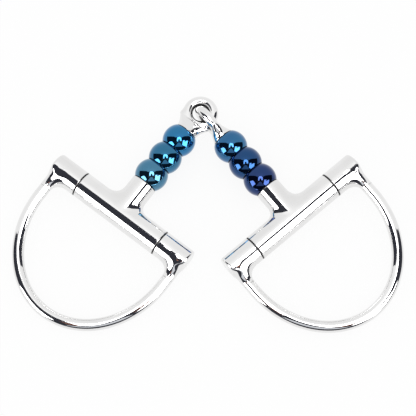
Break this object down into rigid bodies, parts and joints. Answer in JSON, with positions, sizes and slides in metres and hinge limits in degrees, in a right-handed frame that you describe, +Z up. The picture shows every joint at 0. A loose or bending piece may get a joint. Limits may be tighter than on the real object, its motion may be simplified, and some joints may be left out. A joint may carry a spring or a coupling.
{
  "type": "snaffle bit",
  "caption": "Dee-ring snaffle bit: a jointed mouthpiece of mirror-blue ball rollers on polished steel arms, with dees that swing on their barrels to take the cheekpieces and reins.",
  "frame": {"origin": "on the surface that the bit lies on, below the middle of its box", "axes": "+Z up off the surface, +X across the bit from the left dee to the right one, +Y from the dees towards the centre joint"},
  "size_m": [0.1968, 0.1234, 0.0184],
  "materials": {
    "polished_steel": "mirror polished",
    "plain_steel": "turned, hidden inside the barrels and rollers",
    "blue_rollers": "mirror-polished blue coating"
  },
  "bodies": {
    "left_arm": {"left_barrel": "polished_steel", "left_roller_axle": "plain_steel", "left_joint_eye": "polished_steel"},
    "left_dee": {"left_dee_bow": "polished_steel", "left_upper_knuckle": "polished_steel", "left_lower_knuckle": "polished_steel", "left_hinge_pin": "plain_steel"},
    "left_outer_roller": {"left_outer_roller": "blue_rollers"},
    "left_middle_roller": {"left_middle_roller": "blue_rollers"},
    "left_inner_roller": {"left_inner_roller": "blue_rollers"},
    "right_arm": {"right_barrel": "polished_steel", "right_roller_axle": "plain_steel", "right_joint_eye": "polished_steel"},
    "right_dee": {"right_dee_bow": "polished_steel", "right_upper_knuckle": "polished_steel", "right_lower_knuckle": "polished_steel", "right_hinge_pin": "plain_steel"},
    "right_outer_roller": {"right_outer_roller": "blue_rollers"},
    "right_middle_roller": {"right_middle_roller": "blue_rollers"},
    "right_inner_roller": {"right_inner_roller": "blue_rollers"}
  },
  "joints": [
    {"name": "centre_fold", "type": "hinge", "parent": "left_arm", "child": "right_arm", "pos_m": [-0.00224, 0.05385, 0.0095], "axis": [-0.0049, -0.0285, 0.9996], "range_deg": [-8, 205]},
    {"name": "left_dee_swing", "type": "hinge", "parent": "left_arm", "child": "left_dee", "pos_m": [-0.04341, 0.00099, 0.00779], "axis": [-0.7799, 0.6257, 0.014], "range_deg": [-100, 100]},
    {"name": "right_dee_swing", "type": "hinge", "parent": "right_arm", "child": "right_dee", "pos_m": [0.0434, -0.00299, 0.0081], "axis": [-0.7798, -0.6256, -0.0217], "range_deg": [-100, 100]},
    {"name": "left_outer_roller_spin", "type": "hinge", "parent": "left_arm", "child": "left_outer_roller", "pos_m": [-0.02745, 0.02087, 0.00844], "axis": [0.6259, 0.7795, 0.0253], "continuous": true},
    {"name": "left_middle_roller_spin", "type": "hinge", "parent": "left_arm", "child": "left_middle_roller", "pos_m": [-0.02031, 0.02975, 0.00873], "axis": [0.6259, 0.7795, 0.0253], "continuous": true},
    {"name": "left_inner_roller_spin", "type": "hinge", "parent": "left_arm", "child": "left_inner_roller", "pos_m": [-0.01318, 0.03864, 0.00901], "axis": [0.6259, 0.7795, 0.0253], "continuous": true},
    {"name": "right_outer_roller_spin", "type": "hinge", "parent": "right_arm", "child": "right_outer_roller", "pos_m": [0.02743, 0.01689, 0.00859], "axis": [-0.626, 0.7796, 0.0192], "continuous": true},
    {"name": "right_middle_roller_spin", "type": "hinge", "parent": "right_arm", "child": "right_middle_roller", "pos_m": [0.0203, 0.02578, 0.00881], "axis": [-0.626, 0.7796, 0.0192], "continuous": true},
    {"name": "right_inner_roller_spin", "type": "hinge", "parent": "right_arm", "child": "right_inner_roller", "pos_m": [0.01316, 0.03467, 0.00903], "axis": [-0.626, 0.7796, 0.0192], "continuous": true}
  ]
}
